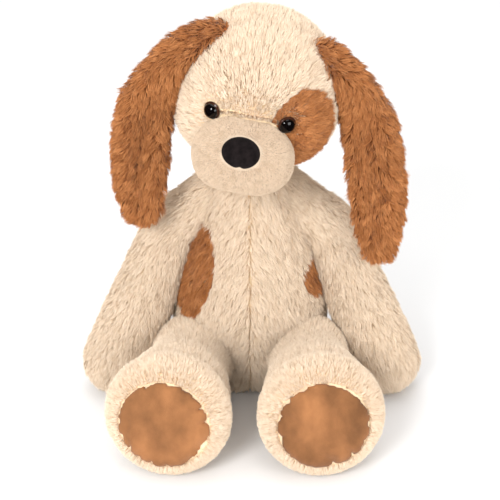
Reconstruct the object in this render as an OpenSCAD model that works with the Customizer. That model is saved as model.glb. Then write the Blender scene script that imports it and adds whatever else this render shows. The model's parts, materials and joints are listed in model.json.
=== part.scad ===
// Seated plush dog: stuffed covers sewn together, with soft joints at the neck,
// ears, shoulders, hips and tail.
// Frame: the origin is the middle of the flat seat, +Z is up and the face looks
// to -Y. "left" and "right" are the dog's own, so its left side is at +X.

/* [Head] */
// Half width of the head's cover
head_r = 67; // [64:0.5:67]
// Half height of the head's cover
head_h = 66; // [63:0.5:66]
// How far the face is turned towards the dog's right
head_turned = 7; // [0:1:9]
// How far the head is tipped towards the dog's left
head_tipped = 9; // [0:1:10]

/* [Muzzle and eyes] */
// Half height of the muzzle, which is also its roundness
muzzle_r = 33.5; // [31:0.5:34]
// Half width of the muzzle
muzzle_w = 44.5; // [41:0.5:46]
// Half width of the nose
nose_w = 19; // [15:0.5:19.5]
// Half height of the nose
nose_h = 14; // [11:0.5:14.5]
// Radius of an eye's glossy dome
eye_r = 7; // [5:0.1:7.1]
// Radius of the brown rim behind it
eye_rim_r = 8.2; // [7.3:0.1:8.3]

/* [Ears] */
// Half width of an ear where it is sewn on
ear_root_w = 10; // [9:0.5:11]
// Half width of an ear at its widest
ear_tip_w = 28; // [24:0.5:28.5]
// Half thickness of an ear
ear_t = 5.5; // [4:0.5:6]

/* [Body] */
// Height of the body's cover, from the seat to the neck
torso_h = 234; // [232:1:235]
// How far the body leans forward
torso_lean = 4.9; // [4:0.1:5]

/* [Limbs] */
// Radius of an arm at the shoulder
shoulder_r = 21; // [18:0.5:21.5]
// Radius of a hand
hand_r = 27; // [24:0.5:27.5]
// Radius of a thigh at the hip
hip_r = 37; // [35:0.5:37]
// Radius of a foot across its sole
foot_r = 54; // [50:0.5:54.5]
// Radius of a sole's pad
pad_r = 41; // [36:0.5:42]

/* [Cloth] */
// Thickness of the plush cover's backing
cover_t = 2.2; // [1.5:0.1:2.4]
// Clearance between the soft bodies that move
body_gap = 1; // [0.6:0.1:1.2]

/* [Hidden] */
$fn = 96;

left = 1;
right = -1;
fill_gap = 0.25;              // between a cover and its stuffing
fill_t = cover_t + fill_gap;  // depth of the stuffing's surface below the cover's
skin_gap = 0.2;               // between pieces sewn face to face on a curve
patch_t = 1.6;

cream = [0.94, 0.86, 0.74];
short_cream = [0.92, 0.82, 0.70];
caramel = [0.74, 0.47, 0.28];
suede = [0.72, 0.48, 0.30];
fibre = [0.97, 0.97, 0.96];

head_c = [8, -36, 307];
neck_c = [2, -20, 236];
neck_r = 19;
nod_room = 2.4;               // clears the thread round the neck

shoulder_c = [73, -14, 156];
hand_left = [132, -54, 28];
hand_right = [129, -54, 28];
hip_c = [54, -66, 41];
sole_left = [64, -208, 57];
sole_right = [75, -207, 57];
tail_root = [0, 76, 46];
tail_tip = [8, 104, 92];
tail_r = 13;

// Outline of the body about its own axis: height, radius
torso_outline = [[-9, 50], [4, 61], [18, 67], [45, 70], [75, 71], [95, 69.5], [112, 65.5],
                 [138, 57], [160, 48.5], [188, 39], [212, 33], [226, 26.5], [torso_h, 20.5]];

// Powers that square the head's lower half: 1 is round, and less is squarer
cheek_w = 0.5;
cheek_drop = 0.8;
eye_az = 29;
eye_el = -7;
muzzle_c = [0, -67, -39.5];
nose_up = 25;                 // how far above straight ahead the nose looks
nose_bulge = 5;
nose_dome_r = 30;

stem_r = 2.2;                 // the plastic stem that holds an eye
stem_l = 13;
washer_r = 8.5;

bag_r = 41;
bag_h = 33;
bag_t = 0.8;
bag_y = 8;

sole_z = 143;                 // from the hip's centre to the sole, along the leg
foot_edge_r = 24;             // roundness of the foot's edge
pad_t = 2.2;

function mirror_x(p, side) = [p[0] * side, p[1], p[2]];
function smooth(u) = u * u * (3 - 2 * u);
function unit(v) = v / norm(v);
// A point on an arc about c, for an outline in radius and height
function on_arc(c, r, a) = [c[0] + r * cos(a), c[1] + r * sin(a)];
function bezier(p, u) = pow(1 - u, 3) * p[0] + 3 * u * pow(1 - u, 2) * p[1]
    + 3 * u * u * (1 - u) * p[2] + pow(u, 3) * p[3];
function bezier_way(p, u) = unit(pow(1 - u, 2) * (p[1] - p[0])
    + 2 * u * (1 - u) * (p[2] - p[1]) + u * u * (p[3] - p[2]));

module turned(outline) {
    rotate_extrude() polygon(outline);
}

// Turns +Z to point from a to b, with its foot at a
module along(a, b) {
    d = b - a;
    translate(a) rotate([0, acos(d[2] / norm(d)), atan2(d[1], d[0])]) children();
}

// A closed skin over a row of rings of equal length, with a point at each end.
// Seen from the last ring, each ring runs counter-clockwise. Each four-sided gap
// between rings is split from its first corner (turn = 0) or its second (turn = 1).
module loft(rings, first, last, turn) {
    n = len(rings[0]);
    m = len(rings);
    points = concat([for (r = rings) each r], [first, last]);
    sides = [for (i = [0:m - 2]) for (j = [0:n - 1])
        let (k = (j + 1) % n, quad = [i * n + j, i * n + k, (i + 1) * n + k, (i + 1) * n + j])
        each [[quad[turn], quad[turn + 1], quad[turn + 2]],
              [quad[turn], quad[turn + 2], quad[(turn + 3) % 4]]]];
    low = [for (j = [0:n - 1]) [m * n, (j + 1) % n, j]];
    high = [for (j = [0:n - 1]) [m * n + 1, (m - 1) * n + j, (m - 1) * n + (j + 1) % n]];
    polyhedron(points, concat(sides, low, high));
}

// ---- body ----

module torso_turned(t) {
    rotate([torso_lean, 0, 0])
        turned(concat([[0, torso_outline[0][0]]],
            [for (s = torso_outline) [s[1] - t, min(s[0], torso_h - t)]],
            [[0, torso_h - t]]));
}

// The body's form, t inside its outer face, with a flat seat. It is hollowed for
// the thighs, the neck and the tail.
module torso_form(t) {
    box = 2 * torso_h;
    difference() {
        torso_turned(t);
        translate([-box / 2, -box / 2, t - box]) cube(box);
        for (side = [left, right])
            translate(mirror_x(hip_c, side)) sphere(hip_r + body_gap + t);
        translate(neck_c) sphere(neck_r + body_gap + t);
        translate(tail_root) sphere(tail_r + body_gap + t);
    }
}

module torso_cover() {
    color(cream) difference() {
        torso_form(0);
        torso_form(cover_t);
    }
}

module bag_form(t) {
    translate([0, bag_y, fill_t + t]) cylinder(r = bag_r - t, h = bag_h - 2 * t);
}

module torso_stuffing() {
    color(fibre) difference() {
        torso_form(fill_t);
        translate([0, 0, -1]) bag_form(-fill_gap - 1);
    }
}

module pellet_bag() {
    color([0.85, 0.85, 0.8]) difference() {
        bag_form(0);
        bag_form(bag_t);
    }
}

module seat_pellets() {
    color([0.75, 0.8, 0.85]) bag_form(bag_t + 0.1);
}

function oval(half_w, half_h) = [for (a = [0:15:345]) [half_w * cos(a), half_h * sin(a)]];

// A patch sewn over the body, where a slanted oval from the front meets it. It
// ends where the arm on that side lies over it.
module side_patch(side, hand, x, z, half_w, half_h, slant) {
    color(caramel) difference() {
        intersection() {
            torso_turned(-skin_gap - patch_t);
            translate([side * x, shoulder_c[1], z]) rotate([90, -side * slant, 0])
                linear_extrude(torso_h / 2) polygon(oval(half_w, half_h));
        }
        torso_turned(-skin_gap);
        arm_place(hand, side) arm_form(hand, -body_gap);
    }
}

module side_patch_right() {
    side_patch(right, hand_right, 49, 130, 16, 43, 9);
}

module side_patch_left() {
    side_patch(left, hand_left, 60, 119, 12, 16, 14);
}

// Ladder stitches that close the middle of the back
module closing_stitches() {
    stitch_r = 0.7;
    stitch_l = 7;
    first_z = 66;
    spacing = 9;
    color(cream) for (i = [0:8])
        let (z = first_z + i * spacing, y = lookup(z, torso_outline) + stitch_r + skin_gap)
        rotate([torso_lean, 0, 0]) translate([-stitch_l / 2, y, z]) rotate([0, 90, 0])
            cylinder(r = stitch_r, h = stitch_l);
}

// Blank sewn-in label at the back, beside the tail
module care_label() {
    label = [0.8, 17, 24];
    z = 18;
    color("white") rotate([0, 0, 40])
        translate([-label[0] / 2, lookup(z, torso_outline) + 2.5, z]) cube(label);
}

// ---- neck ----

module neck_stuffing() {
    color(fibre) translate(neck_c) sphere(neck_r - 0.2);
}

module neck_thread() {
    thread_r = 0.9;
    color(cream) translate([neck_c[0], neck_c[1], neck_c[2] + 1.4])
        rotate_extrude() translate([neck_r + thread_r, 0]) circle(thread_r);
}

// ---- head ----

module head_place() {
    translate(head_c) rotate([0, head_tipped, -head_turned]) children();
}

// Turns +Z outwards through an eye
module eye_place(side) {
    rotate([0, 0, side * eye_az]) rotate([90 - eye_el, 0, 0]) children();
}

// Round above the middle and squarer below it, for the cheeks
module skull(t) {
    turned(concat([for (a = [90:-7.5:7.5])
            [(head_r - t) * pow(cos(a), cheek_w), (t - head_h) * pow(sin(a), cheek_drop)]],
        [for (a = [0:7.5:90]) [(head_r - t) * cos(a), (head_h - t) * sin(a)]]));
}

module head_form(t) {
    difference() {
        head_place() skull(t);
        translate(neck_c) sphere(neck_r + nod_room + t);
    }
}

module eye_holes(r) {
    for (side = [left, right])
        eye_place(side) translate([0, 0, head_r / 2]) cylinder(r = r, h = head_r);
}

module head_cover() {
    color(cream) difference() {
        head_form(0);
        head_form(cover_t);
        head_place() eye_holes(stem_r + 0.1);
    }
}

module head_stuffing() {
    color(fibre) difference() {
        head_form(fill_t);
        head_place() for (side = [left, right])
            eye_place(side) translate([0, 0, head_r - stem_l - 6]) cylinder(r = washer_r + 1, h = head_r);
    }
}

// A fat bar from cheek to cheek with round ends
module muzzle_round(t) {
    bar = muzzle_w - muzzle_r;
    translate(muzzle_c) rotate([0, 90, 0])
        turned(concat([for (a = [-90:10:0]) on_arc([0, -bar], muzzle_r - t, a)],
            [for (a = [0:10:90]) on_arc([0, bar], muzzle_r - t, a)]));
}

module muzzle_form(t) {
    difference() {
        muzzle_round(t);
        skull(-skin_gap);
        eye_holes(eye_rim_r + 0.5);
    }
}

module muzzle_cover() {
    color(short_cream) head_place() difference() {
        muzzle_form(0);
        muzzle_round(cover_t);
    }
}

module muzzle_stuffing() {
    color(fibre) head_place() muzzle_form(fill_t);
}

module nose() {
    color([0.06, 0.05, 0.05]) head_place() difference() {
        translate(muzzle_c) rotate([90 - nose_up, 0, 0]) intersection() {
            linear_extrude(muzzle_r + nose_bulge + 1) polygon(oval(nose_w, nose_h));
            translate([0, 0, muzzle_r + nose_bulge - nose_dome_r]) sphere(nose_dome_r);
        }
        muzzle_round(-skin_gap);
    }
}

// Caramel panel around the left eye, down the side of the muzzle to the cheek
module eye_patch() {
    patch_az = 45;
    patch_z = -22;
    patch_slant = 14;
    color(caramel) head_place() difference() {
        intersection() {
            difference() {
                skull(-skin_gap - patch_t);
                skull(-skin_gap);
            }
            rotate([0, 0, patch_az]) translate([0, 0, patch_z]) rotate([90, -patch_slant, 0])
                linear_extrude(2 * head_r) polygon(oval(27, 38));
        }
        muzzle_round(-2 * skin_gap);
        eye_holes(eye_rim_r + skin_gap);
    }
}

eye_seat = head_r + 0.4;      // where an eye's rim meets the cover
rim_t = 2.6;

module eye_rim(side) {
    color([0.2, 0.1, 0.06]) head_place() eye_place(side) translate([0, 0, eye_seat])
        turned([[stem_r + 0.1, 0.7], [eye_rim_r, 0.7], [eye_rim_r, 1.6], [eye_r + 0.1, rim_t],
                [stem_r + 0.1, rim_t]]);
}

module eye(side) {
    dome_h = 4.6;
    color([0.03, 0.02, 0.02]) head_place() eye_place(side) translate([0, 0, eye_seat + rim_t]) {
        turned(concat([[0, 0]], [for (a = [0:10:90]) [eye_r * cos(a), dome_h * sin(a)]]));
        translate([0, 0, -stem_l]) cylinder(r = stem_r, h = stem_l + 0.5);
    }
}

// Locking washer on an eye's stem, inside the cover
module eye_washer(side) {
    washer_t = 1.6;
    color("ivory") head_place() eye_place(side) translate([0, 0, eye_seat - cover_t - 2 * washer_t])
        difference() {
            cylinder(r = washer_r, h = washer_t);
            translate([0, 0, -washer_t]) cylinder(r = stem_r + 0.05, h = 3 * washer_t);
        }
}

module eye_left() {
    eye(left);
}

module eye_right() {
    eye(right);
}

module eye_rim_left() {
    eye_rim(left);
}

module eye_rim_right() {
    eye_rim(right);
}

module eye_washer_left() {
    eye_washer(left);
}

module eye_washer_right() {
    eye_washer(right);
}

// ---- ears ----

ear_stand = 4;                // from the head's cover to the seam's line

// Where an ear's seam sits, as an angle from straight up
function ear_up(a, side) = [side * sin(a), 0, cos(a)];
function ear_root(a, side) = head_c + (head_r + ear_stand) * ear_up(a, side);
// An ear's middle line: out of the seam, over the side of the head, then down
function ear_line(a, side, over, tip) =
    [ear_root(a, side), ear_root(a, side) + 6 * ear_up(a, side), over, tip];
ear_line_left = ear_line(58, left, [117, -36, 325], [119, -72, 142]);
ear_line_right = ear_line(38, right, [-113, -36, 350], [-97, -66, 176]);

// Across an ear: along its seam at the root, and square to its middle line from
// halfway down
function ear_across(p, u) = let (back = [0, 1, 0], s = smooth(min(1, 2 * u)))
    unit((1 - s) * cross(back, bezier_way(p, 0)) + s * unit(cross(back, bezier_way(p, u))));

// One of the ear's two cloths: face -1 looks forward, face 1 looks back
module ear_cloth(p, face, t) {
    rings = 14;
    half_sides = 8;
    step = 180 / half_sides;
    us = [for (i = [0:rings]) 0.985 * sin(90 * i / rings)];
    sections = [for (u = us)
        let (w = ear_across(p, u),
             n = unit(cross(bezier_way(p, u), w)),
             end = sqrt(1 - pow(u, 9)),
             half_w = (ear_root_w + (ear_tip_w - ear_root_w) * smooth(u)) * end,
             half_t = t * (0.6 + 0.4 * smooth(min(1, 3 * u))) * end)
        [for (j = [0:half_sides]) bezier(p, u) + half_w * cos(j * step) * w
            + face * (skin_gap / 2 + half_t * sin(j * step)) * n]];
    ordered = [for (s = sections) face > 0 ? s : [for (j = [half_sides:-1:0]) s[j]]];
    loft(ordered, centre(ordered[0]), centre(ordered[rings]), face > 0 ? 0 : 1);
}

function centre(ring) = [for (k = [0:2]) sum([for (p = ring) p[k]]) / len(ring)];
function sum(v, i = 0) = i < len(v) ? v[i] + sum(v, i + 1) : 0;

module ear_left_outer() {
    color(caramel) ear_cloth(ear_line_left, -1, ear_t);
}

module ear_left_lining() {
    color(caramel) ear_cloth(ear_line_left, 1, 0.7 * ear_t);
}

module ear_right_outer() {
    color(caramel) ear_cloth(ear_line_right, -1, ear_t);
}

module ear_right_lining() {
    color(caramel) ear_cloth(ear_line_right, 1, 0.7 * ear_t);
}

// ---- arms ----

// A round shoulder, a tube that widens, and a round hand, t inside the cover's face
module arm_form(hand, t) {
    l = norm(hand - shoulder_c);
    turned(concat([for (a = [-90:15:0]) on_arc([0, 0], shoulder_r - t, a)],
        [[shoulder_r + 1 - t, 0.35 * l], [hand_r - 2 - t, 0.75 * l]],
        [for (a = [0:15:90]) on_arc([0, l], hand_r - t, a)]));
}

module arm_place(hand, side) {
    along(mirror_x(shoulder_c, side), mirror_x(hand, side)) children();
}

module arm_cover(hand, side) {
    color(cream) arm_place(hand, side) difference() {
        arm_form(hand, 0);
        arm_form(hand, cover_t);
    }
}

module arm_stuffing(hand, side) {
    color(fibre) arm_place(hand, side) arm_form(hand, fill_t);
}

module arm_left_cover() {
    arm_cover(hand_left, left);
}

module arm_left_stuffing() {
    arm_stuffing(hand_left, left);
}

module arm_right_cover() {
    arm_cover(hand_right, right);
}

module arm_right_stuffing() {
    arm_stuffing(hand_right, right);
}

// ---- legs ----

// A round thigh, a shin that widens, and a foot that flares to a flat sole
module leg_form(t) {
    edge_c = [foot_r - foot_edge_r, sole_z - foot_edge_r * sin(60)];
    turned(concat([for (a = [-90:15:30]) on_arc([0, 0], hip_r - t, a)],
        [[hip_r - 1 - t, 50], [hip_r + 7 - t, 80]],
        [for (a = [-60:15:60]) on_arc(edge_c, foot_edge_r - t, a)],
        [[0, edge_c[1] + (foot_edge_r - t) * sin(60)]]));
}

module leg_place(sole, side) {
    along(mirror_x(hip_c, side), mirror_x(sole, side)) children();
}

module leg_cover(sole, side) {
    color(cream) leg_place(sole, side) difference() {
        leg_form(0);
        leg_form(cover_t);
    }
}

module leg_stuffing(sole, side) {
    color(fibre) leg_place(sole, side) leg_form(fill_t);
}

module foot_pad(sole, side) {
    color(suede) leg_place(sole, side) translate([0, 0, sole_z])
        turned([[0, 0], [pad_r, 0], [pad_r - 0.4, 0.6 * pad_t], [pad_r - 3, pad_t], [0, pad_t]]);
}

module leg_left_cover() {
    leg_cover(sole_left, left);
}

module leg_left_stuffing() {
    leg_stuffing(sole_left, left);
}

module foot_pad_left() {
    foot_pad(sole_left, left);
}

module leg_right_cover() {
    leg_cover(sole_right, right);
}

module leg_right_stuffing() {
    leg_stuffing(sole_right, right);
}

module foot_pad_right() {
    foot_pad(sole_right, right);
}

// ---- tail ----

module tail_form(t) {
    l = norm(tail_tip - tail_root);
    turned(concat([for (a = [-90:15:0]) on_arc([0, 0], tail_r - t, a)],
        [for (a = [15:15:90]) on_arc([0, l], 0.75 * tail_r - t, a)]));
}

module tail_cover() {
    color(caramel) along(tail_root, tail_tip) difference() {
        tail_form(0);
        tail_form(cover_t);
    }
}

module tail_stuffing() {
    color(fibre) along(tail_root, tail_tip) tail_form(fill_t);
}

torso_cover();
torso_stuffing();
pellet_bag();
seat_pellets();
side_patch_right();
side_patch_left();
closing_stitches();
care_label();
neck_stuffing();
neck_thread();
head_cover();
head_stuffing();
muzzle_cover();
muzzle_stuffing();
nose();
eye_patch();
eye_left();
eye_right();
eye_rim_left();
eye_rim_right();
eye_washer_left();
eye_washer_right();
ear_left_outer();
ear_left_lining();
ear_right_outer();
ear_right_lining();
arm_left_cover();
arm_left_stuffing();
arm_right_cover();
arm_right_stuffing();
leg_left_cover();
leg_left_stuffing();
foot_pad_left();
leg_right_cover();
leg_right_stuffing();
foot_pad_right();
tail_cover();
tail_stuffing();
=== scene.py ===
"""A seated plush dog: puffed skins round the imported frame's stuffing, with a pile of real strands on them.

Lengths are in metres and angles in degrees. +Z is up, the face looks to -Y, and the dog's own left is at +X.
"""

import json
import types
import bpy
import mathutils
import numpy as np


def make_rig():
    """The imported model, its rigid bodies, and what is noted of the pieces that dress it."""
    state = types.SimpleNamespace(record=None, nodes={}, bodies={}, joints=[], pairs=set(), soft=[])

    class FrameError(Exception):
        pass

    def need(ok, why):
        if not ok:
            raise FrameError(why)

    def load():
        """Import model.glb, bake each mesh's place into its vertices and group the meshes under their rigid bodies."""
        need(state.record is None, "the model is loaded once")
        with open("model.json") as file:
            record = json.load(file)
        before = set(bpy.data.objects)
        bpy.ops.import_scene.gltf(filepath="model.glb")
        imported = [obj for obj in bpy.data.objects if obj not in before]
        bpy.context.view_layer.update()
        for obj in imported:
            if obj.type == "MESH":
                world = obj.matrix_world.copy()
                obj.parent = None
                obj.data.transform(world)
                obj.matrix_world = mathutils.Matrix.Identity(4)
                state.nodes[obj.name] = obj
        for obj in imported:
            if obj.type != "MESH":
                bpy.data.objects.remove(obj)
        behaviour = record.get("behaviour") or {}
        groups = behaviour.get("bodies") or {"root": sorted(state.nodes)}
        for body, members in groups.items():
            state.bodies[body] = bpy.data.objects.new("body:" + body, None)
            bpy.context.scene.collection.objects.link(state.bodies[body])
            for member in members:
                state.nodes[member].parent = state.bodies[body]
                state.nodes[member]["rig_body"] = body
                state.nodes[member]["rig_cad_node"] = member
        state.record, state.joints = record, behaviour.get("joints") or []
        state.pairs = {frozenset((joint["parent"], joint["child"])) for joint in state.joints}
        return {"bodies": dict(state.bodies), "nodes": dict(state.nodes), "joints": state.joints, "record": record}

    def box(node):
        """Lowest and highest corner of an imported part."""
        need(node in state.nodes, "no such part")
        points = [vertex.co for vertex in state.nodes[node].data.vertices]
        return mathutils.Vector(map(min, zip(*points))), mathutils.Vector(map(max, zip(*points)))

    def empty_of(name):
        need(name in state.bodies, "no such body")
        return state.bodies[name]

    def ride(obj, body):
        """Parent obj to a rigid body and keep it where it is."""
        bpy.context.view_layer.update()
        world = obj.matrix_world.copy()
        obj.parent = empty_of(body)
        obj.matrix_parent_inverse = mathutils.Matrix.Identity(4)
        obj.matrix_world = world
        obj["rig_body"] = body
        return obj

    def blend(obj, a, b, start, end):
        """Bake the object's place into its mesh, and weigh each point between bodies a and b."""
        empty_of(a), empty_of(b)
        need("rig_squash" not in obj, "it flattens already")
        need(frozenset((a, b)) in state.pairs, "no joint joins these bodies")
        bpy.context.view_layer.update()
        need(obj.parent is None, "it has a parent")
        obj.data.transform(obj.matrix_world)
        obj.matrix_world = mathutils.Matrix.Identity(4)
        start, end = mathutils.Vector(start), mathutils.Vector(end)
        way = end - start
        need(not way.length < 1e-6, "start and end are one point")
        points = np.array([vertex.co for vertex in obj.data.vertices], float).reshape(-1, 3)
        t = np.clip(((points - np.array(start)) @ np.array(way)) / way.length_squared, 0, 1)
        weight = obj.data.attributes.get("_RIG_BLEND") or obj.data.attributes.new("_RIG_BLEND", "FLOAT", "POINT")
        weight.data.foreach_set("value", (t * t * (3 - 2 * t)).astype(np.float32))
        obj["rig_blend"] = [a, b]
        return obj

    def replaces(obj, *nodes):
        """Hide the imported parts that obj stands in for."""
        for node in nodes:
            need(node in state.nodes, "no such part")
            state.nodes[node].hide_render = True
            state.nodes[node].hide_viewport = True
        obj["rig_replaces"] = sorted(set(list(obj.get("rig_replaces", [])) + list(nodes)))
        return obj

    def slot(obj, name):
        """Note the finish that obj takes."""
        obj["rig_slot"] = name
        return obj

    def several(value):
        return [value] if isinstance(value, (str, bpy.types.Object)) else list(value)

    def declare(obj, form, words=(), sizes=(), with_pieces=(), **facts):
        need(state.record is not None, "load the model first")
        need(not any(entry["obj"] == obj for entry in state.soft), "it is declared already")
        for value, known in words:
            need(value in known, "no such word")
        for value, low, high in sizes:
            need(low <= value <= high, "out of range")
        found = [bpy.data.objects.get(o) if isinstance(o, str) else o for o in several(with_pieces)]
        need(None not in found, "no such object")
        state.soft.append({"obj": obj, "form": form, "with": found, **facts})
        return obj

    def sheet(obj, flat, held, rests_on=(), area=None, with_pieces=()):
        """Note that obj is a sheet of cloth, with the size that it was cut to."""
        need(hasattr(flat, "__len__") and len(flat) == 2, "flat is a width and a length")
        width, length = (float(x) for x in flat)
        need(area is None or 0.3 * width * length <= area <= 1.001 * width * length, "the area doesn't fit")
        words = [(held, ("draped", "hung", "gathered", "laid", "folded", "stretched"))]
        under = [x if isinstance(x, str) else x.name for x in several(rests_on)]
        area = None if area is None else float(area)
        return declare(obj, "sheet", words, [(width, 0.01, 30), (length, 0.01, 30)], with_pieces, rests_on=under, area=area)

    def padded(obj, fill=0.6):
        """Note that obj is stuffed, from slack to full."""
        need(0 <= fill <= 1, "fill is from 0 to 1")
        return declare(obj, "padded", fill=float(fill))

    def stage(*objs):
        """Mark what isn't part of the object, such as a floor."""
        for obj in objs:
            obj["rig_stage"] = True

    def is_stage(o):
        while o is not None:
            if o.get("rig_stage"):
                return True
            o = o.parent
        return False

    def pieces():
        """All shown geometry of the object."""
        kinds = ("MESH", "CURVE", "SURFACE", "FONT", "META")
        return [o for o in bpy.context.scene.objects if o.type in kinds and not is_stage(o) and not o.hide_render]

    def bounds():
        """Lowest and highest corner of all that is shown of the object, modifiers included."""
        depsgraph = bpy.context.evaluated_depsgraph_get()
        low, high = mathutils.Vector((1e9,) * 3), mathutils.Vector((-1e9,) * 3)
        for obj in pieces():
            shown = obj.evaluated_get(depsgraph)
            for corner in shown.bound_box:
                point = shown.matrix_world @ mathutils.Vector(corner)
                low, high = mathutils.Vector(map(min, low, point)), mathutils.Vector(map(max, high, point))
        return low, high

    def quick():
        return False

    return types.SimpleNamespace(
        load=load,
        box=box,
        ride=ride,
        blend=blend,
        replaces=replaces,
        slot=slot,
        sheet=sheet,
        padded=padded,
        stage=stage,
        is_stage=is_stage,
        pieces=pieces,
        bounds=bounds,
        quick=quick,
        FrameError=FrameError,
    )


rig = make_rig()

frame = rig.load()
cad_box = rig.bounds()

import json
import math

import bmesh
import bpy
import numpy as np
from mathutils import Matrix, Vector
from mathutils.bvhtree import BVHTree
from mathutils.kdtree import KDTree

NODES = frame["nodes"]
FLOOR_GAP = 0.0004          # nothing soft goes lower than this
COVER_T = 0.0025            # from the stuffing's face to the cover's
PUFF_PRESSURE = 4.0         # of the stuffing on a cover in the cloth simulation
PUFF_FRAMES = 20            # that the simulation runs for
QUICK_PUFF = 0.7            # the share of its furthest move that a quick skin swells by
STRAND_POINTS = 5
STRAND_LOOPS = 7
ROOT_DEPTH = 0.0008         # of a strand's root below its skin

# Linear colours
CREAM = (0.93, 0.78, 0.615)
# Root colours are darker than the tips: painted shade deep in the pile, which the backings take too.
CREAM_SHADED_ROOT = (0.91, 0.69, 0.46)
NAP = (0.74, 0.58, 0.43)
CARAMEL = (0.66, 0.29, 0.108)
CARAMEL_SHADED_ROOT = (0.42, 0.14, 0.04)
SUEDE = (0.28, 0.12, 0.047)
VELOUR = (0.013, 0.009, 0.009)
VELOUR_DARK = (0.006, 0.004, 0.004)
EYE_BLACK = (0.003, 0.002, 0.002)
RIM_BROWN = (0.05, 0.017, 0.009)
WASHER_IVORY = (0.75, 0.72, 0.62)
PELLET_BLUE = (0.65, 0.72, 0.8)
# The muzzle seam's strands are dark brown: painted shade of the crease between the eyes.
SEAM_PAINTED_SHADE = (0.45, 0.25, 0.13)
SEAM_PAINTED_SHADE_TIP = (0.62, 0.40, 0.24)


# ---- small helpers ----

def unit(v):
    """Vectors of length 1, for one vector or a row of them."""
    return v / np.maximum(np.linalg.norm(v, axis=-1, keepdims=True), 1e-9)


def smooth(t):
    t = np.clip(t, 0, 1)
    return t * t * (3 - 2 * t)


def middle(node):
    low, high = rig.box(node)
    return np.array((low + high) / 2)


def points_of(obj):
    co = np.empty(len(obj.data.vertices) * 3, np.float32)
    obj.data.vertices.foreach_get("co", co)
    return co.reshape(-1, 3).astype(float)


def normals_of(obj):
    no = np.empty(len(obj.data.vertices) * 3, np.float32)
    obj.data.vertices.foreach_get("normal", no)
    return no.reshape(-1, 3).astype(float)


def set_points(obj, co):
    obj.data.vertices.foreach_set("co", co.astype(np.float32).ravel())
    obj.data.update()


def triangles_of(obj):
    obj.data.calc_loop_triangles()
    tris = np.empty(len(obj.data.loop_triangles) * 3, np.int32)
    obj.data.loop_triangles.foreach_get("vertices", tris)
    return tris.reshape(-1, 3)


def edges_of(obj):
    edges = np.empty(len(obj.data.edges) * 2, np.int32)
    obj.data.edges.foreach_get("vertices", edges)
    return edges.reshape(-1, 2)


def distances(node, points):
    """How far each point is from a CAD node's surface."""
    tree = BVHTree.FromPolygons(points_of(NODES[node]).tolist(), triangles_of(NODES[node]).tolist())
    return np.array([tree.find_nearest(p)[3] for p in points.tolist()])


def outside(node, points, room):
    """The points, with those inside a CAD node or too near it moved out to that much room."""
    tree = BVHTree.FromPolygons(points_of(NODES[node]).tolist(), triangles_of(NODES[node]).tolist())
    moved = points.copy()
    for i, p in enumerate(points.tolist()):
        spot, normal, _, _ = tree.find_nearest(p)
        if (Vector(p) - spot).dot(normal) < room:
            moved[i] = spot + room * normal
    return moved


def new_object(name, mesh):
    obj = bpy.data.objects.new(name, mesh)
    bpy.context.scene.collection.objects.link(obj)
    return obj


def with_modifiers(obj):
    """Applies all of an object's modifiers to its mesh."""
    bpy.context.view_layer.update()
    graph = bpy.context.evaluated_depsgraph_get()
    mesh = bpy.data.meshes.new_from_object(obj.evaluated_get(graph), depsgraph=graph)
    old = obj.data
    obj.modifiers.clear()
    obj.data = mesh
    bpy.data.meshes.remove(old)
    return obj


# ---- materials ----

def material(name, roughness, sheen=0.0, specular=0.3):
    m = bpy.data.materials.new(name)
    m.use_nodes = True
    shader = m.node_tree.nodes["Principled BSDF"]
    shader.inputs["Roughness"].default_value = roughness
    shader.inputs["Specular IOR Level"].default_value = specular
    shader.inputs["Sheen Weight"].default_value = sheen
    shader.inputs["Sheen Roughness"].default_value = 0.4
    return m, m.node_tree, shader


def ramp(tree, factor, stops):
    """A colour ramp over (place, colour) stops."""
    node = tree.nodes.new("ShaderNodeValToRGB")
    elements = node.color_ramp.elements
    while len(elements) < len(stops):
        elements.new(0.5)
    for element, (place, colour) in zip(elements, stops):
        element.position = place
        element.color = (*colour, 1)
    tree.links.new(factor, node.inputs["Fac"])
    return node.outputs["Color"]


def noise(tree, scale, detail=3.0, stretch=(1, 1, 1)):
    """Noise in the object's own coordinates, in features per metre."""
    place = tree.nodes.new("ShaderNodeTexCoord")
    mapping = tree.nodes.new("ShaderNodeMapping")
    mapping.inputs["Scale"].default_value = stretch
    node = tree.nodes.new("ShaderNodeTexNoise")
    node.inputs["Scale"].default_value = scale
    node.inputs["Detail"].default_value = detail
    tree.links.new(place.outputs["Object"], mapping.inputs["Vector"])
    tree.links.new(mapping.outputs["Vector"], node.inputs["Vector"])
    return node.outputs["Fac"]


def base_colour(tree, shader, colour):
    tree.links.new(colour, shader.inputs["Base Color"])


def bump(tree, shader, height, strength, distance):
    node = tree.nodes.new("ShaderNodeBump")
    node.inputs["Strength"].default_value = strength
    node.inputs["Distance"].default_value = distance
    tree.links.new(height, node.inputs["Height"])
    tree.links.new(node.outputs["Normal"], shader.inputs["Normal"])


def scaled(colour, k):
    return tuple(min(1.0, c * k) for c in colour)


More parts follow.
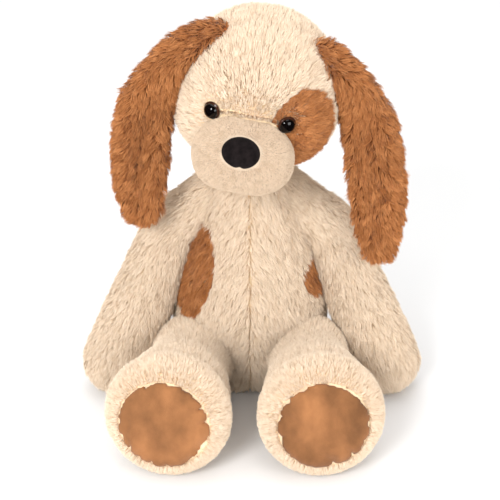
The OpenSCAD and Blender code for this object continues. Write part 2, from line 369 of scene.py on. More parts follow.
def pile_material(name, root, tip, dull=(0.84, 0.80, 0.75), sheen=0.25):
    """Strands: U is a strand's own tone and V runs from its root, darkened with painted shade, to its tip."""
    m, tree, shader = material(name, 0.9, sheen, 0.15)
    uv = tree.nodes.new("ShaderNodeUVMap")
    uv.uv_map = "OFBake"
    split = tree.nodes.new("ShaderNodeSeparateXYZ")
    tree.links.new(uv.outputs["UV"], split.inputs["Vector"])
    lower = tuple((a + 2 * b) / 3 for a, b in zip(root, tip))
    along = ramp(tree, split.outputs["Y"], [(0, root), (0.45, lower), (0.8, tip), (1, scaled(tip, 1.06))])
    usual = tuple((1 + 2 * c) / 3 if c < 0.7 else (5 + c) / 6 for c in dull)
    tone = ramp(tree, split.outputs["X"], [(0, dull), (0.5, usual), (1, (1.0, 1.0, 1.0))])
    mix = tree.nodes.new("ShaderNodeMix")
    mix.data_type = "RGBA"
    mix.blend_type = "MULTIPLY"
    mix.inputs["Factor"].default_value = 1
    tree.links.new(along, mix.inputs["A"])
    tree.links.new(tone, mix.inputs["B"])
    base_colour(tree, shader, mix.outputs["Result"])
    return m


def cloth_material(name, dark, light, scale=900, sheen=0.2, height=0.0004, specular=0.2):
    """A backing or a short nap: mottled, with a fine bump."""
    m, tree, shader = material(name, 0.9, sheen, specular)
    base_colour(tree, shader, ramp(tree, noise(tree, scale / 12, 4), [(0.35, dark), (0.65, light)]))
    bump(tree, shader, noise(tree, scale, 2), 0.6, height)
    return m


def suede_material(name, colour):
    """A very short nap with brushed marks, lighter and darker as it was stroked."""
    m, tree, shader = material(name, 0.85, 0.2, 0.12)
    strokes = noise(tree, 40, 12, (1, 1, 0.7))
    tones = [(0.3, scaled(colour, 0.62)), (0.5, colour), (0.7, scaled(colour, 1.45))]
    base_colour(tree, shader, ramp(tree, strokes, tones))
    bump(tree, shader, noise(tree, 1100, 4), 0.8, 0.0005)
    return m


def gloss_material(name, colour, roughness):
    m, tree, shader = material(name, roughness, 0, 0.5)
    tones = [(0.3, scaled(colour, 0.8)), (0.7, scaled(colour, 1.2))]
    base_colour(tree, shader, ramp(tree, noise(tree, 300), tones))
    return m


def plastic_material(name, colour):
    m, tree, shader = material(name, 0.5, 0, 0.5)
    base_colour(tree, shader, ramp(tree, noise(tree, 120), [(0.3, scaled(colour, 0.9)), (0.7, colour)]))
    bump(tree, shader, noise(tree, 1500), 0.2, 0.0001)
    return m


MATERIALS = {
    # The backings take the root colours: painted shade under the pile.
    "cream_plush": cloth_material("cream_backing", CREAM_SHADED_ROOT, scaled(CREAM_SHADED_ROOT, 1.2)),
    "caramel_plush": cloth_material("caramel_backing", CARAMEL_SHADED_ROOT, scaled(CARAMEL_SHADED_ROOT, 1.2)),
    # The muzzle's backing is darker than its nap: painted shade, as under the nap's strands, also where it shows bare
    # beside the nose.
    "short_cream_plush": cloth_material("short_cream_nap", scaled(NAP, 0.7), scaled(NAP, 0.8), 1400, 0.1),
    "sole_suede": suede_material("sole_nap", SUEDE),
    "nose_velour": cloth_material("nose_nap", VELOUR_DARK, VELOUR, 2400, 0.08, 0.0003, 0.1),
    "eye_gloss": gloss_material("eye_black", EYE_BLACK, 0.04),
    "eye_rim": gloss_material("rim_brown", RIM_BROWN, 0.18),
    "washer_plastic": plastic_material("washer_ivory", WASHER_IVORY),
    "pellets": plastic_material("pellet_blue", PELLET_BLUE),
    "fibre_fill": cloth_material("fibre_white", (0.8, 0.8, 0.78), (0.92, 0.92, 0.9), 700),
    "woven_cloth": cloth_material("plain_weave", (0.78, 0.78, 0.74), (0.88, 0.88, 0.84), 2000),
    "thread": cloth_material("cream_thread", scaled(CREAM, 0.8), CREAM, 2500),
}
PILE = {
    "cream_plush": pile_material("cream_pile", CREAM_SHADED_ROOT, CREAM),
    "caramel_plush": pile_material("caramel_pile", CARAMEL_SHADED_ROOT, CARAMEL, (0.6, 0.5, 0.42)),
    "short_cream_plush": pile_material("short_cream_pile", scaled(NAP, 0.92), NAP),
    # Dark strands on the muzzle's seam: painted shade of the crease, under the thread slot.
    "thread": pile_material("seam_pile", SEAM_PAINTED_SHADE, SEAM_PAINTED_SHADE_TIP),
}


def dress_cad_nodes():
    """Gives every carried-over CAD node its slot's material."""
    for part in frame["record"]["subparts"]:
        obj = NODES[part["node"]]
        obj.data.materials.clear()
        obj.data.materials.append(MATERIALS[part["material_slot"]])


# ---- skins ----

def relax(co, edges, times, share=0.5, still=None):
    """Moves each point towards the mean of its neighbours, apart from the still ones."""
    count = np.bincount(edges.ravel(), minlength=len(co))[:, None]
    for _ in range(times):
        total = np.zeros_like(co)
        np.add.at(total, edges[:, 0], co[edges[:, 1]])
        np.add.at(total, edges[:, 1], co[edges[:, 0]])
        step = (total / np.maximum(count, 1) - co) * share
        if still is not None:
            step[still] = 0
        co = co + step
    return co


def remeshed(name, nodes, voxel, balls=()):
    """One closed skin round CAD nodes, and round balls: their centres and radii."""
    shape = bmesh.new()
    for node in nodes:
        shape.from_mesh(NODES[node].data)
    for centre, radius in balls:
        at = Matrix.Translation(centre)
        bmesh.ops.create_icosphere(shape, subdivisions=3, radius=radius, matrix=at)
    bmesh.ops.remove_doubles(shape, verts=shape.verts, dist=1e-6)
    mesh = bpy.data.meshes.new(name)
    shape.to_mesh(mesh)
    shape.free()
    obj = new_object(name, mesh)
    modifier = obj.modifiers.new("skin", "REMESH")
    modifier.mode = "VOXEL"
    modifier.voxel_size = voxel
    return with_modifiers(obj)


def puffed(obj, still, pressure, most):
    """Swells a skin by cloth simulation. The still points are its seams, and none moves further than most."""
    rest = points_of(obj)
    group = obj.vertex_groups.new(name="seams")
    group.add(np.flatnonzero(still).tolist(), 1.0, "REPLACE")
    cloth = obj.modifiers.new("puff", "CLOTH")
    settings = cloth.settings
    settings.vertex_group_mass = "seams"
    settings.use_pressure = True
    settings.uniform_pressure_force = pressure
    settings.effector_weights.gravity = 0
    settings.tension_stiffness = 8
    settings.compression_stiffness = 8
    settings.bending_stiffness = 1.2
    cloth.point_cache.frame_start = 1
    cloth.point_cache.frame_end = PUFF_FRAMES
    scene = bpy.context.scene
    for step in range(1, PUFF_FRAMES + 1):
        scene.frame_set(step)
    graph = bpy.context.evaluated_depsgraph_get()
    now = obj.evaluated_get(graph)
    moved = np.empty(len(rest) * 3, np.float32)
    now.data.vertices.foreach_get("co", moved)
    move = moved.reshape(-1, 3) - rest
    obj.modifiers.clear()
    obj.vertex_groups.clear()
    scene.frame_set(1)
    size = np.linalg.norm(move, axis=1, keepdims=True)
    set_points(obj, rest + move * np.minimum(1, most / np.maximum(size, 1e-9)))


def place(obj, body, hinge):
    """Rides on a body, or bends from the torso to it, where hinge is the bend's start and end."""
    if hinge is None:
        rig.ride(obj, body)
    else:
        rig.blend(obj, "torso", body, *hinge)


def skin(name, nodes, body, slot, voxel=0.005, shape=None, seams=None, most=0.004, fill=0.7, replaced=(),
         balls=(), soft=3, hinge=None):
    """A stuffed skin: the CAD's form, then shape's changes, then swelled between its seams."""
    obj = remeshed(name, nodes, voxel, balls)
    edges = edges_of(obj)
    set_points(obj, relax(points_of(obj), edges, soft))
    co = points_of(obj) + COVER_T * normals_of(obj)
    set_points(obj, shape(co) if shape else co)
    still = seams(points_of(obj)) if seams else np.zeros(len(co), bool)
    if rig.quick():
        set_points(obj, points_of(obj) + QUICK_PUFF * most * normals_of(obj) * ~still[:, None])
    else:
        puffed(obj, still, PUFF_PRESSURE, most)
    set_points(obj, relax(points_of(obj), edges, 1, 0.4))
    obj.modifiers.new("finer", "SUBSURF").levels = 1
    with_modifiers(obj)
    co = points_of(obj)
    co[:, 2] = np.maximum(co[:, 2], FLOOR_GAP)
    set_points(obj, co)
    obj.data.shade_smooth()
    obj.data.materials.clear()
    obj.data.materials.append(MATERIALS[slot])
    place(obj, body, hinge)
    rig.slot(obj, slot)
    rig.padded(obj, fill=fill)
    if replaced:
        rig.replaces(obj, *replaced)
    return obj


# ---- pile ----

def scattered(obj, per_m2, rng):
    """Points and normals spread evenly over a mesh."""
    co, no, tris = points_of(obj), normals_of(obj), triangles_of(obj)
    a, b, c = (co[tris[:, i]] for i in range(3))
    area = np.linalg.norm(np.cross(b - a, c - a), axis=1) / 2
    total = np.cumsum(area)
    count = int(total[-1] * per_m2)
    which = np.searchsorted(total, rng.random(count) * total[-1])
    u, v = rng.random((2, count, 1))
    over = (u + v) > 1
    u, v = np.where(over, 1 - u, u), np.where(over, 1 - v, v)
    t = tris[which]
    p = co[t[:, 0]] * (1 - u - v) + co[t[:, 1]] * u + co[t[:, 2]] * v
    n = unit(no[t[:, 0]] * (1 - u - v) + no[t[:, 1]] * u + no[t[:, 2]] * v)
    return p, n


def strand_mesh(name, root, mid, tip, side, width, tone):
    """Blades of a quad and a triangle: a root pair of points, a middle pair and the tip."""
    count = len(root)
    low, high = side * width, side * width * 0.8
    co = np.stack([root - low, root + low, mid - high, mid + high, tip], 1)
    co[:, :, 2] = np.maximum(co[:, :, 2], FLOOR_GAP)
    first = np.arange(count)[:, None] * STRAND_POINTS
    loops = (first + np.array([0, 1, 3, 2, 2, 3, 4])).ravel()
    mesh = bpy.data.meshes.new(name)
    mesh.vertices.add(count * STRAND_POINTS)
    mesh.vertices.foreach_set("co", co.astype(np.float32).ravel())
    mesh.loops.add(count * STRAND_LOOPS)
    mesh.loops.foreach_set("vertex_index", loops.astype(np.int32))
    mesh.polygons.add(count * 2)
    starts = (np.arange(count)[:, None] * STRAND_LOOPS + np.array([0, 4])).ravel()
    mesh.polygons.foreach_set("loop_start", starts.astype(np.int32))
    mesh.update(calc_edges=True)
    v = np.tile(np.array([0.03, 0.03, 0.5, 0.5, 0.5, 0.5, 0.97]), count)
    u = np.repeat(0.04 + 0.92 * np.clip(tone, 0, 1), STRAND_LOOPS)
    layer = mesh.uv_layers.new(name="OFBake")
    layer.data.foreach_set("uv", np.stack([u, v], 1).astype(np.float32).ravel())
    mesh.shade_smooth()
    return mesh


class Pile:
    """How a pile grows. Its length (metres) and its lean from the normal (degrees) may be functions of the
    roots' places and normals, and its comb direction is one. A clump is clump wide at its roots, gather is how
    far its tips close up, and width is half of a strand's."""

    def __init__(self, length, lean, comb, per_m2=1.5e6, clump=0.0045, gather=0.42, width=0.0004,
                 tangle=0.3):
        self.length = length
        self.lean = lean
        self.comb = comb
        self.per_m2 = per_m2
        self.clump = clump
        self.gather = gather
        self.width = width
        self.tangle = tangle

    def at(self, value, p, n):
        return value(p, n) if callable(value) else np.full(len(p), value)

    def way(self, p, n, rng, tangle, part=1.0):
        """The direction of a strand, leaning by part of its full lean."""
        comb = self.comb(p, n)
        comb = comb - n * np.sum(comb * n, axis=1, keepdims=True)
        comb = unit(comb) + tangle * rng.normal(size=p.shape)
        lean = np.radians(self.at(self.lean, p, n) * part)[:, None]
        return unit(n * np.cos(lean) + comb * np.sin(lean))


def grow(name, obj, body, slot, pile, seed, keep=None, parts=None, replaced=(), hinge=None):
    """Pile on a skin, as one piece or as several: parts maps a name to a test of the roots' places."""
    rng = np.random.default_rng(seed)
    p, n = scattered(obj, pile.per_m2, rng)
    if keep is not None:
        kept = keep(p, n)
        p, n = p[kept], n[kept]
    centres = rng.permutation(len(p))[:max(8, int(len(p) / (pile.per_m2 * pile.clump ** 2)))]
    tree = KDTree(len(centres))
    for i, c in enumerate(p[centres].tolist()):
        tree.insert(c, i)
    tree.balance()
    near = np.array([tree.find(q)[1] for q in p.tolist()])
    pc, nc = p[centres], n[centres]
    length_c = pile.at(pile.length, pc, nc) * rng.uniform(0.85, 1.15, len(pc))
    tip_c = pc + pile.way(pc, nc, rng, pile.tangle) * length_c[:, None]
    length = (pile.at(pile.length, p, n) * rng.uniform(0.75, 1.12, len(p)))[:, None]
    tip = p + pile.way(p, n, rng, 0.6 * pile.tangle) * length
    mid = p + pile.way(p, n, rng, 0.3 * pile.tangle, 0.6) * length * 0.55
    offset = p - pc[near]
    gather = pile.gather * rng.uniform(0.6, 1.1, (len(p), 1))
    tip = tip + gather * (tip_c[near] + 0.25 * offset - tip)
    mid = mid + 0.35 * gather * ((pc + (tip_c - pc) * 0.5)[near] + 0.6 * offset - mid)
    flat = unit(np.cross(tip - p, n))
    turn = rng.normal(0, 0.5, (len(p), 1))
    side = flat * np.cos(turn) + np.cross(unit(tip - p), flat) * np.sin(turn)
    width = (pile.width * rng.uniform(0.7, 1.25, len(p)))[:, None]
    tone = 0.5 + 0.22 * rng.normal(size=len(centres))[near] + 0.16 * rng.normal(size=len(p))
    root = p - n * ROOT_DEPTH
    made = []
    for part, test in (parts or {name: None}).items():
        pick = slice(None) if test is None else test(p)
        mesh = strand_mesh(part, root[pick], mid[pick], tip[pick], side[pick], width[pick], tone[pick])
        mesh.materials.append(PILE[slot])
        piece = new_object(part, mesh)
        place(piece, body, hinge)
        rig.slot(piece, slot)
        made.append(piece)
    if replaced:
        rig.replaces(made[0], *replaced)


# ---- the dog's landmarks, from the frame ----

HEAD = middle("head_stuffing") * (1, 1, 0) + (0, 0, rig.box("head_cover")[1].z - 0.066)
MUZZLE = middle("muzzle_stuffing")
EYES = [middle("eye_rim_left"), middle("eye_rim_right")]
EAR_SEAT = 0.0715           # from the head's centre to an ear that lies on it
EYE_ROOM = 0.0104           # from an eye's axis to the muzzle's cover
HEAD_R = 0.064              # of the head's stuffing
EYE_FILL_R = 0.03           # of the ball of stuffing that fills the pocket behind an eye


def near_eyes(p):
    return np.min([np.linalg.norm(p - eye, axis=1) for eye in EYES], axis=0)


# ---- head ----

def head_shape(co):
    """Fuller cheeks, low at each side of the face."""
    d = co - HEAD
    low = smooth((-d[:, 2] + 0.005) / 0.04) * smooth((d[:, 2] + 0.062) / 0.02)
    wide = smooth((np.abs(d[:, 0]) - 0.01) / 0.04)
    front = smooth((-d[:, 1] + 0.03) / 0.05)
    co = co.copy()
    co[:, 0] += np.sign(d[:, 0]) * 0.004 * low * wide * front
    return co


def muzzle_shape(co):
    """Jowls that are wider than the top, and a rim that goes round the eyes."""
    d = co - MUZZLE
    co = co.copy()
    co[:, 0] += d[:, 0] * (0.07 * smooth(-d[:, 2] / 0.03) - 0.05 * smooth(d[:, 2] / 0.03))
    for eye in EYES:
        axis = unit(eye - HEAD)
        d = co - eye
        depth = (d @ axis)[:, None]
        across = d - depth * axis
        r = np.linalg.norm(across, axis=1, keepdims=True)
        clear = (r ** 3 + EYE_ROOM ** 3) ** (1 / 3)
        co = co + across * (clear / np.maximum(r, 1e-4) - 1) * smooth((depth + 0.008) / 0.004)
    return outside("muzzle_stuffing", co, 0.0012)


def head_pile_length(p, n):
    """Short beside the muzzle's seam and the eyes, and longer towards the crown and the cheeks."""
    seam = smooth((distances("muzzle_stuffing", p) - 0.002) / 0.03)
    eyes = smooth((near_eyes(p) - 0.009) / 0.02)
    return 0.004 + 0.006 * np.minimum(seam, eyes)


def head_comb(p, n):
    """Up and away from the muzzle, round the eyes, and down the back of the head."""
    start = MUZZLE + (0, 0, 0.01)
    away = unit(p - start)
    for eye in EYES:
        d = p - eye
        away = away + 1.5 * unit(d) * np.exp(-(np.linalg.norm(d, axis=1, keepdims=True) / 0.014) ** 2)
    behind = smooth((p[:, 1:2] - HEAD[1]) / 0.04)
    return away - 1.6 * behind * np.array([0, 0, 1.0])


def closed_rings(name, rows, first, last):
    """A closed mesh over rows of points, each a ring of equal length, with a point at each end."""
    n, m = len(rows[0]), len(rows)
    around = [(j, (j + 1) % n) for j in range(n)]
    faces = [(i * n + j, (i + 1) * n + j, (i + 1) * n + k, i * n + k)
             for i in range(m - 1) for j, k in around]
    faces += [(m * n, j, k) for j, k in around]
    faces += [(m * n + 1, (m - 1) * n + k, (m - 1) * n + j) for j, k in around]
    mesh = bpy.data.meshes.new(name)
    mesh.from_pydata([tuple(p) for row in rows for p in row] + [tuple(first), tuple(last)], [], faces)
    return new_object(name, mesh)


def build_nose(muzzle):
    """A crowned oval with a small notch at the bottom, its edge sunk into the muzzle."""
    co, tris = points_of(NODES["nose"]), triangles_of(NODES["nose"])
    a, b, c = (co[tris[:, i]] for i in range(3))
    area = np.linalg.norm(np.cross(b - a, c - a), axis=1)
    spots = co[tris].mean(axis=1)
    centre = np.average(spots, axis=0, weights=area)
    up, across = np.linalg.eigh(np.cov((spots - centre).T, aweights=area))[1][:, 1:].T
    up, across = up * np.sign(up[2]), across * np.sign(across[0])
    out = np.cross(across, up)
    half_w, half_h = (np.abs((co - centre) @ axis).max() for axis in (across, up))
    cover = BVHTree.FromObject(muzzle, bpy.context.evaluated_depsgraph_get())
    crown, back, sunk = 0.0052, 0.002, 0.001

    def point(f, a, front):
        notch = 1 - 0.11 * f * math.exp(-((a - 1.53 * math.pi) / 0.13) ** 2)
        spot = centre + f * notch * (half_w * math.cos(a) * across + half_h * math.sin(a) * up)
        hit = cover.ray_cast(Vector(spot + 0.02 * out), Vector(-out))[0]
        height = crown * math.sqrt(1 - f ** 3) if front else back * (f - 1)
        return np.array(hit) + (height - sunk) * out

    rings, sides = 14, 96
    turns = [2 * math.pi * j / sides for j in range(sides)]
    levels = [(i / rings, True) for i in range(1, rings + 1)]
    levels += [(i / rings, False) for i in range(rings - 1, 0, -1)]
    nose = closed_rings("nose_skin", [[point(f, a, front) for a in turns] for f, front in levels],
                        point(0, 0, True), point(0, 0, False))
    nose.modifiers.new("finer", "SUBSURF").levels = 1
    with_modifiers(nose)
    nose.data.shade_smooth()
    nose.data.materials.append(MATERIALS["nose_velour"])
    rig.ride(nose, "head")
    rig.slot(nose, "nose_velour")
    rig.padded(nose, fill=0.9)
    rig.replaces(nose, "nose")


def build_neck():
    """The gathered neck between the head's cover and the body's."""
    neck = skin("neck_skin", ["neck_stuffing"], "neck", "cream_plush", voxel=0.004, most=0.0005,
                replaced=["neck_stuffing"])
    pile = Pile(0.008, 45, lambda p, n: np.tile([0, 0, -1.0], (len(p), 1)))
    grow("neck_pile", neck, "neck", "cream_plush", pile, 25)


def build_label():
    """A blank white label, folded in two and sewn into the back seam beside the tail."""
    co = points_of(NODES["care_label"])
    out = unit(co.mean(axis=0) * (1, 1, 0))
    along = np.cross(out, (0, 0, 1))
    near, far = (co @ out).min(), (co @ out).max()
    low, high = co[:, 2].min(), co[:, 2].max()
    layer, bend, droop = 0.0006, 0.004, 0.003
    path = [(near + (far - near) * i / 12, layer) for i in range(13)]
    turn = np.linspace(0.3, math.pi - 0.3, 6)
    path += [(far + layer * math.sin(t), layer * math.cos(t)) for t in turn]
    path += [(r, -layer) for r, _ in path[12::-1]]
    rows = []
    for r, side in path:
        f = (r - near) / (far - near)
        rows.append([r * out + (side + bend * f ** 2) * along + (0, 0, z - droop * f ** 2)
                     for z in np.linspace(low, high, 13)])
    n = len(rows[0])
    faces = [(i * n + j, i * n + j + 1, (i + 1) * n + j + 1, (i + 1) * n + j)
             for i in range(len(rows) - 1) for j in range(n - 1)]
    mesh = bpy.data.meshes.new("care_label_cloth")
    mesh.from_pydata([tuple(p) for row in rows for p in row], [], faces)
    label = new_object("care_label_cloth", mesh)
    label.modifiers.new("thickness", "SOLIDIFY").thickness = 0.0003
    with_modifiers(label)
    label.data.materials.append(MATERIALS["woven_cloth"])
    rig.ride(label, "torso")
    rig.slot(label, "woven_cloth")
    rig.sheet(label, flat=(high - low, 2 * (far - near) + math.pi * layer), held="folded",
             rests_on=["torso_skin"])
    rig.replaces(label, "care_label")


def build_head():
    inside = ["head_stuffing", "eye_washer_left", "eye_washer_right"]
    head = skin("head_skin", inside, "head", "cream_plush", shape=head_shape, most=0.002,
                replaced=["head_cover"],
                balls=[(HEAD + unit(eye - HEAD) * (HEAD_R - EYE_FILL_R), EYE_FILL_R) for eye in EYES])
    muzzle = skin("muzzle_skin", ["muzzle_stuffing"], "head", "short_cream_plush", voxel=0.003,
                  shape=muzzle_shape, most=0.0025, replaced=["muzzle_cover"])
    pile = Pile(head_pile_length, 50, head_comb, 1.6e6)

    def at_seam(p, n):
        """Along the muzzle's seam, from eye to eye, where dark strands paint the crease's shade."""
        beside = distances("muzzle_stuffing", p)
        between = (p[:, 0] < EYES[0][0] - 0.007) & (p[:, 0] > EYES[1][0] + 0.007)
        return (beside > 0.003) & (beside < 0.0058) & between & (p[:, 2] > MUZZLE[2])

    def bare(p, n, room=0.0085):
        return (distances("muzzle_stuffing", p) > 0.0015) & (near_eyes(p) > room) & ~at_seam(p, n)

    def patched(p):
        return distances("eye_patch", p) < 0.005

    grow("head_pile", head, "head", "cream_plush", pile, 11,
         keep=lambda p, n: bare(p, n) & ~patched(p),
         parts={"head_pile_front": lambda p: p[:, 1] < HEAD[1],
                "head_pile_back": lambda p: p[:, 1] >= HEAD[1]})
    patch_pile = Pile(head_pile_length, 50, head_comb, 2.8e6)
    grow("eye_patch_pile", head, "head", "caramel_plush", patch_pile, 12,
         keep=lambda p, n: bare(p, n, 0.0065) & patched(p), replaced=["eye_patch"])

    # A short dark pile along the seam: painted shade in the crease.
    seam_pile = Pile(0.0016, 30, head_comb, 4e6, clump=0.003, width=0.0003)
    grow("muzzle_seam_pile", head, "head", "thread", seam_pile, 17, keep=at_seam)
    nap = Pile(0.002, 55, lambda p, n: p - middle("nose") + (0, 0, -0.01), 3e6, clump=0.003, gather=0.2,
               width=0.0003)
    grow("muzzle_pile", muzzle, "head", "short_cream_plush", nap, 21,
         keep=lambda p, n: (distances("nose", p) > 0.0005) & (np.linalg.norm(p - HEAD, axis=1) > 0.062))
    build_nose(muzzle)


# ---- ears ----

def ear_shape(side_nodes, folds, outward):
    """Lengthwise folds, which fade out at the seam and the tip, and a root that lies over the head."""
    ear = np.concatenate([points_of(NODES[n]) for n in side_nodes])
    top, bottom = ear[:, 2].max(), ear[:, 2].min()
    levels = np.linspace(bottom, top - 0.03, 12)
    slices = [ear[np.abs(ear[:, 2] - z) < 0.012, 0] for z in levels]
    centre = [np.mean([across.min(), across.max()]) for across in slices]

    def shape(co):
        co = co.copy()
        s = (co[:, 0] - np.interp(co[:, 2], levels, centre)) / 0.025
        fade = smooth((top - 0.035 - co[:, 2]) / 0.04) * smooth((co[:, 2] - bottom - 0.004) / 0.03)
        for place, breadth, depth in folds:
            co[:, 1] += depth * fade * np.exp(-((s - place) / breadth) ** 2)
        root = smooth((co[:, 2] - top + 0.085) / 0.075)[:, None]
        co += root * np.array([-outward * 0.011, -0.024, 0])
        d = co - HEAD
        r = np.linalg.norm(d, axis=1, keepdims=True)
        return np.where(r < EAR_SEAT, HEAD + d / r * EAR_SEAT, co)

    return shape


def build_ear(side, folds, seed):
    nodes = [f"ear_{side}_outer", f"ear_{side}_lining"]
    body = f"ear_{side}"
    outward = 1 if side == "left" else -1
    ear = skin(f"ear_{side}_skin", nodes, body, "caramel_plush", voxel=0.0035,
               shape=ear_shape(nodes, folds, outward), most=0.002, fill=0.3, replaced=nodes)
    low, high = (np.array(v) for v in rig.box(nodes[0]))

    def comb(p, n):
        drop = smooth((high[2] - 0.01 - p[:, 2]) / 0.05)[:, None]
        across = (p[:, :1] - (low[0] + high[0]) / 2) / 0.03
        down = np.concatenate([0.8 * across, 0 * across, 0 * across - 1], axis=1)
        return drop * down + (1 - drop) * np.array([outward, 0, -0.2])

    pile = Pile(0.0105, 46, comb, 1.6e6, clump=0.0045, gather=0.55)
    grow(f"ear_{side}_pile", ear, body, "caramel_plush", pile, seed)


# ---- body ----

def torso_shape(co):
    """A rounder belly."""
    co = co.copy()
    belly = np.exp(-((co[:, 2] - 0.085) / 0.045) ** 2) * smooth(-co[:, 1] / 0.05)
    co[:, 1] -= 0.006 * belly
    return co


def torso_seams(co):
    """The front seam, the ring where the neck is sewn on, and the flat seat."""
    front = (np.abs(co[:, 0]) < 0.004) & (co[:, 1] < -0.03)
    top = co[:, 2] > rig.box("torso_cover")[1].z - 0.012
    base = co[:, 2] < 0.006
    return front | top | base


def build_torso():
    torso = skin("torso_skin", ["torso_stuffing", "pellet_bag", "seat_pellets"], "torso", "cream_plush",
                 shape=torso_shape, seams=torso_seams, most=0.005, fill=0.7, replaced=["torso_cover"])

    def length(p, n):
        front = smooth(-p[:, 1] / 0.04)
        return 0.0095 + 0.0025 * front - 0.003 * np.exp(-(p[:, 0] / 0.006) ** 2) * front

    def comb(p, n):
        part = np.sign(p[:, 0]) * np.exp(-(p[:, 0] / 0.02) ** 2)
        return np.stack([0.5 * part, 0 * part, 0 * part - 1], 1)

    pile = Pile(length, 52, comb, 1.6e6, clump=0.0048, gather=0.42, width=0.00037, tangle=0.3)
    patches = ["side_patch_right", "side_patch_left"]

    def in_patch(p, n, which):
        """Over a patch's node, which may lie below the swollen skin."""
        near = [distances(node, p - n * depth) for node in which for depth in (0, 0.004, 0.008)]
        return np.min(near, axis=0) < 0.003

    def clear(p):
        """Not under a leg or the neck."""
        covered = ["leg_left_stuffing", "leg_right_stuffing", "neck_stuffing"]
        return np.all([distances(node, p) > 0.004 for node in covered], axis=0)

    grow("torso_pile", torso, "torso", "cream_plush", pile, 31,
         keep=lambda p, n: clear(p) & ~in_patch(p, n, patches),
         parts={"torso_pile_chest": lambda p: (p[:, 1] < 0) & (p[:, 2] > 0.11),
                "torso_pile_belly": lambda p: (p[:, 1] < 0) & (p[:, 2] <= 0.11),
                "torso_pile_upper_back": lambda p: (p[:, 1] >= 0) & (p[:, 2] > 0.09),
                "torso_pile_lower_back": lambda p: (p[:, 1] >= 0) & (p[:, 2] <= 0.09)})
    for i, patch in enumerate(patches):
        grow(f"{patch}_pile", torso, "torso", "caramel_plush", pile, 33 + i,
             keep=lambda p, n: clear(p) & in_patch(p, n, [patch]), replaced=[patch])


def build_arm(side, seed):
    body = f"arm_{side}"
    node = f"arm_{side}_stuffing"
    low, high = (np.array(v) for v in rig.box(node))
    outward = 1 if side == "left" else -1
    hand = np.array([high[0] if outward > 0 else low[0], low[1], low[2]])
    shoulder = np.array([low[0] if outward > 0 else high[0], high[1], high[2]])
    along = unit(hand - shoulder)
    length = np.linalg.norm(hand - shoulder)

    def shape(co):
        """Fuller along its length."""
        d = co - shoulder
        t = (d @ along)[:, None]
        out = unit(d - t * along)
        return co + 0.004 * out * np.sin(math.pi * np.clip(t / length, 0, 1))

    # The sloping shoulder, from beside the neck to the arm
    neck = np.array([outward * 0.026, -0.018, 0.2])
    joint = shoulder + 0.019 * np.array([outward, -1, -1])
    balls = [(neck + (joint - neck) * t, 0.017 + 0.003 * t) for t in np.linspace(0, 1, 6)]
    hinge = (neck + (joint - neck) * 0.4, joint + along * 0.02)
    arm = skin(f"arm_{side}_skin", [node], body, "cream_plush", shape=shape, most=0.003, balls=balls, soft=6,
               seams=lambda co: (co - shoulder) @ along < 0.2 * length, replaced=[f"arm_{side}_cover"],
               hinge=hinge)

    def comb(p, n):
        slope = smooth((joint[2] + 0.01 - p[:, 2]) / 0.03)[:, None]
        return slope * (along + (0, 0, -0.3)) + (1 - slope) * np.array([outward, -0.3, -0.9])

    pile = Pile(0.0105, 54, comb, 1.6e6, clump=0.0045, gather=0.38, width=0.00036, tangle=0.25)
    grow(f"arm_{side}_pile", arm, body, "cream_plush", pile, seed, hinge=hinge)


def build_leg(side, seed):
    body = f"leg_{side}"
    pad_node = f"foot_pad_{side}"
    pad = middle(pad_node)
    low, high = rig.box(f"leg_{side}_stuffing")
    hip = np.array([(low.x + high.x) / 2, high.y - 0.035, 0.041])
    along = unit(pad - hip)

    def seams(co):
        d = (co - pad) @ along
        r = np.linalg.norm(co - pad - d[:, None] * along, axis=1)
        sole = (d > -0.008) & (r < 0.045)
        return sole | (d < -0.12)

    leg = skin(f"leg_{side}_skin", [f"leg_{side}_stuffing"], body, "cream_plush", seams=seams,
               most=0.004, replaced=[f"leg_{side}_cover"])

    def comb(p, n):
        d = p - pad
        out = unit(d - (d @ along)[:, None] * along)
        front = smooth((d @ along + 0.02) / 0.02)[:, None]
        return out * front - along * (1 - front)

    def length(p, n):
        d = (p - pad) @ along
        return 0.0075 - 0.002 * smooth((d + 0.04) / 0.03)

    pile = Pile(length, 42, comb, 1.9e6, clump=0.0032, gather=0.3, width=0.00034, tangle=0.2)

    def keep(p, n):
        d = p - pad
        back = d @ along
        r = np.linalg.norm(d - back[:, None] * along, axis=1)
        return ~((r < 0.0395) & (back > -0.02))

    grow(f"leg_{side}_pile", leg, body, "cream_plush", pile, seed, keep=keep,
         parts={f"leg_{side}_pile": lambda p: (p - pad) @ along < -0.045,
                f"foot_{side}_pile": lambda p: (p - pad) @ along >= -0.045})
    skin(f"{pad_node}_skin", [pad_node], body, "sole_suede", voxel=0.0022, most=0.0015, fill=0.5,
         shape=lambda co: pad_shape(co, pad, along), replaced=[pad_node])


def pad_shape(co, pad, along):
    """A crowned pad with soft, uneven dents."""
    d = co - pad
    front = d @ along
    r = np.linalg.norm(d - front[:, None] * along, axis=1)
    crown = 0.0035 * (1 - np.clip(r / 0.041, 0, 1) ** 2)
    dent = 0.0008 * np.sin(co[:, 0] * 140 + 1) * np.sin(co[:, 2] * 110)
    return co + ((crown + dent) * (front > 0))[:, None] * along


def build_tail(seed):
    tail = skin("tail_skin", ["tail_stuffing"], "tail", "caramel_plush", voxel=0.003, most=0.001,
                replaced=["tail_cover"])
    low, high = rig.box("tail_stuffing")
    along = unit(np.array([0, high.y - low.y, high.z - low.z]))
    pile = Pile(0.01, 48, lambda p, n: np.tile(along, (len(p), 1)))
    grow("tail_pile", tail, "tail", "caramel_plush", pile, seed)


# ---- stage ----

def area_light(name, place, aim, size, power):
    data = bpy.data.lights.new(name, "AREA")
    data.shape = "DISK"
    data.size = size
    data.energy = power
    obj = new_object(name, data)
    obj.location = place
    obj.rotation_euler = (Vector(aim) - Vector(place)).to_track_quat("-Z", "Y").to_euler()


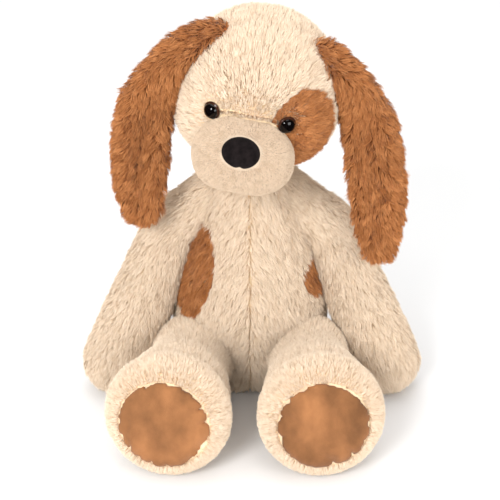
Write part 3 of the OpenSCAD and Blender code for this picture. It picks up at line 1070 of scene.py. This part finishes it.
def build_stage():
    mesh = bpy.data.meshes.new("floor")
    half = 12
    corners = [(-half, -half, 0), (half, -half, 0), (half, half, 0), (-half, half, 0)]
    mesh.from_pydata(corners, [], [(0, 1, 2, 3)])
    floor = new_object("floor", mesh)
    m, tree, shader = material("floor_white", 0.9, 0, 0.1)
    whites = [(0, (0.95, 0.95, 0.95)), (1, (0.97, 0.97, 0.97))]
    base_colour(tree, shader, ramp(tree, noise(tree, 0.4), whites))
    floor.data.materials.append(m)
    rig.stage(floor)
    floor.visible_glossy = False        # the eyes stay black below their highlights
    world = bpy.data.worlds.new("studio")
    bpy.context.scene.world = world
    world.cycles_visibility.glossy = False
    world.use_nodes = True
    world.node_tree.nodes["Background"].inputs["Color"].default_value = (1, 1, 1, 1)
    world.node_tree.nodes["Background"].inputs["Strength"].default_value = 0.82
    centre = (0, -0.05, 0.18)
    area_light("key", (-0.9, -2.0, 1.4), centre, 0.9, 39)
    area_light("fill", (1.5, -1.8, 0.75), centre, 1.4, 18)
    area_light("top", (0, 0.3, 2.2), centre, 1.6, 9)


def build_camera():
    """27 degrees above the floor, 1.4 m from the middle of the dog."""
    elevation, distance = math.radians(27), 1.4
    target = Vector((0, -0.06, 0.165))
    data = bpy.data.cameras.new("camera")
    data.sensor_width = 36
    data.lens = 109.2
    data.shift_y = -0.0252
    camera = new_object("camera", data)
    camera.location = target + distance * Vector((0, -math.cos(elevation), math.sin(elevation)))
    camera.rotation_euler = (target - camera.location).to_track_quat("-Z", "Y").to_euler()
    bpy.context.scene.camera = camera


dress_cad_nodes()
build_head()
build_neck()
build_ear("left", [(-0.35, 0.35, 0.005), (0.45, 0.3, -0.003)], 41)
build_ear("right", [(0.15, 0.3, 0.006), (-0.6, 0.3, -0.003)], 43)
build_torso()
build_arm("left", 51)
build_arm("right", 53)
build_leg("left", 61)
build_leg("right", 63)
build_tail(71)
build_label()
build_stage()
build_camera()
bpy.context.scene.view_settings.view_transform = "Standard"

with open("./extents.json", "w") as f:
    json.dump({"cad": [list(v) for v in cad_box], "visual": [list(v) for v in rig.bounds()]}, f)
